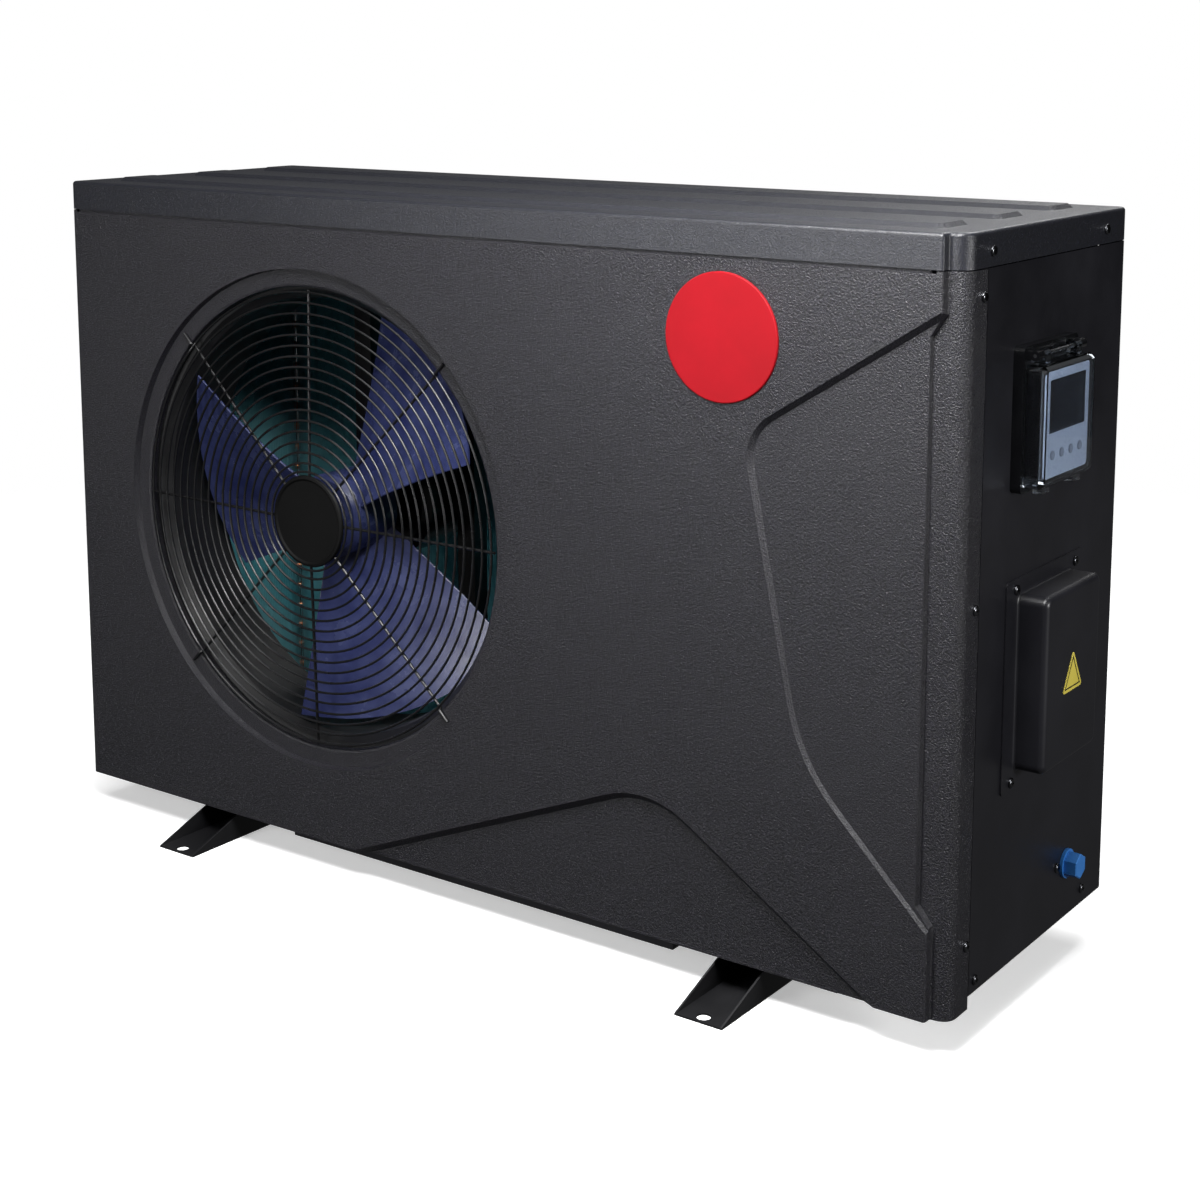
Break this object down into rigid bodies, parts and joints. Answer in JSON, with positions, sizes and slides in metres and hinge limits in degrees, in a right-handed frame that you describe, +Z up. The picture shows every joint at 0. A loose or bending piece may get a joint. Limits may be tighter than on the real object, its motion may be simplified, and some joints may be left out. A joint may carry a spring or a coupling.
{
  "type": "pool heat pump",
  "caption": "Side-discharge air-source heat pump cabinet with a guarded axial fan, coil, compressor, flip-cover controller and rear water unions on two channel feet.",
  "frame": {"origin": "on the ground, at the middle of the four anchor holes in the feet", "axes": "+X to the right and -Y to the front for someone facing the fan, +Z up"},
  "size_m": [1.1489, 0.469, 0.739],
  "materials": {
    "charcoal_plastic": "leather-grained satin, charcoal",
    "lid_plastic": "fine-grained satin, dark grey",
    "black_steel": "satin black powder coat",
    "black_wire": "black plastic-coated wire",
    "foot_steel": "satin dark grey powder coat",
    "zinc_steel": "galvanised, dull",
    "steel": "zinc-plated, semi-bright",
    "copper": "drawn copper tube",
    "fins": "thin stacked fins with a blue-green coating",
    "fan_plastic": "navy, semi-gloss",
    "motor_paint": "black enamel",
    "compressor_paint": "gloss black enamel",
    "exchanger_plastic": "black moulded shell",
    "union_plastic": "mid-grey moulded plastic",
    "rubber": "matt",
    "black_plastic": "satin black",
    "clear": "clear moulded cover",
    "screen": "dark glossy screen",
    "key_plastic": "grey",
    "red": "plain red disc",
    "yellow": "plain yellow film",
    "blue_plug": "blue moulded plastic",
    "board": "green laminate"
  },
  "bodies": {
    "cabinet": {"accumulator": "compressor_paint", "badge": "red", "base_pan": "black_steel", "cable_gland": "black_plastic", "circuit_board": "board", "coil_end_plates": "zinc_steel", "coil_header": "copper", "compressor": "compressor_paint", "compressor_bolts": "steel", "compressor_mounts": "rubber", "condensate_outlet": "black_plastic", "contactor": "black_plastic", "controller_base": "black_plastic", "controller_module": "black_plastic", "controller_screen": "screen", "corner_post": "black_steel", "drain_fitting": "black_plastic", "electrical_tray": "zinc_steel", "evaporator_fins": "fins", "evaporator_tubes": "copper", "expansion_valve": "copper", "fan_guard": "black_wire", "fan_motor": "motor_paint", "fan_shroud": "lid_plastic", "filter_drier": "copper", "foot_left": "foot_steel", "foot_right": "foot_steel", "front_panel": "charcoal_plastic", "guard_left": "black_wire", "guard_plate": "black_plastic", "guard_rear": "black_wire", "hazard_sticker": "yellow", "heat_exchanger": "exchanger_plastic", "hinge_pin": "steel", "lid": "lid_plastic", "motor_bracket": "zinc_steel", "panel_screws": "steel", "partition_plate": "zinc_steel", "rear_panel": "black_steel", "refrigerant_pipes": "copper", "reversing_valve": "copper", "run_capacitor": "steel", "side_panel_right": "black_steel", "terminal_block": "black_plastic", "water_inlet_body": "union_plastic", "water_inlet_tail": "union_plastic", "water_outlet_body": "union_plastic", "water_outlet_tail": "union_plastic", "wiring_cover": "black_steel"},
    "fan_rotor": {"fan": "fan_plastic", "fan_nut": "steel", "motor_shaft": "steel"},
    "clear_cover": {"controller_cover": "clear"},
    "power_key": {"key_power": "key_plastic"},
    "mode_key": {"key_mode": "key_plastic"},
    "up_key": {"key_up": "key_plastic"},
    "down_key": {"key_down": "key_plastic"},
    "blue_drain_plug": {"drain_plug": "blue_plug"},
    "inlet_nut": {"water_inlet_nut": "union_plastic"},
    "outlet_nut": {"water_outlet_nut": "union_plastic"}
  },
  "joints": [
    {"name": "fan_spin", "type": "hinge", "parent": "cabinet", "child": "fan_rotor", "pos_m": [-0.1895, -0.1, 0.3875], "axis": [0, 1, 0], "continuous": true},
    {"name": "cover_flip", "type": "hinge", "parent": "cabinet", "child": "clear_cover", "pos_m": [0.583, -0.0155, 0.621], "axis": [0, -1, 0], "range_deg": [0, 120]},
    {"name": "power_key_press", "type": "slide", "parent": "cabinet", "child": "power_key", "axis": [-1, 0, 0], "range_m": [0, 0.001], "stiffness_N_per_m": 400},
    {"name": "mode_key_press", "type": "slide", "parent": "cabinet", "child": "mode_key", "axis": [-1, 0, 0], "range_m": [0, 0.001], "stiffness_N_per_m": 400},
    {"name": "up_key_press", "type": "slide", "parent": "cabinet", "child": "up_key", "axis": [-1, 0, 0], "range_m": [0, 0.001], "stiffness_N_per_m": 400},
    {"name": "down_key_press", "type": "slide", "parent": "cabinet", "child": "down_key", "axis": [-1, 0, 0], "range_m": [0, 0.001], "stiffness_N_per_m": 400},
    {"name": "drain_plug_pull", "type": "slide", "parent": "cabinet", "child": "blue_drain_plug", "axis": [1, 0, 0], "range_m": [0, 0.02]},
    {"name": "inlet_nut_turn", "type": "hinge", "parent": "cabinet", "child": "inlet_nut", "pos_m": [0.436, 0.2, 0.153], "axis": [0, 1, 0], "continuous": true},
    {"name": "outlet_nut_turn", "type": "hinge", "parent": "cabinet", "child": "outlet_nut", "pos_m": [0.436, 0.2, 0.423], "axis": [0, 1, 0], "continuous": true}
  ]
}
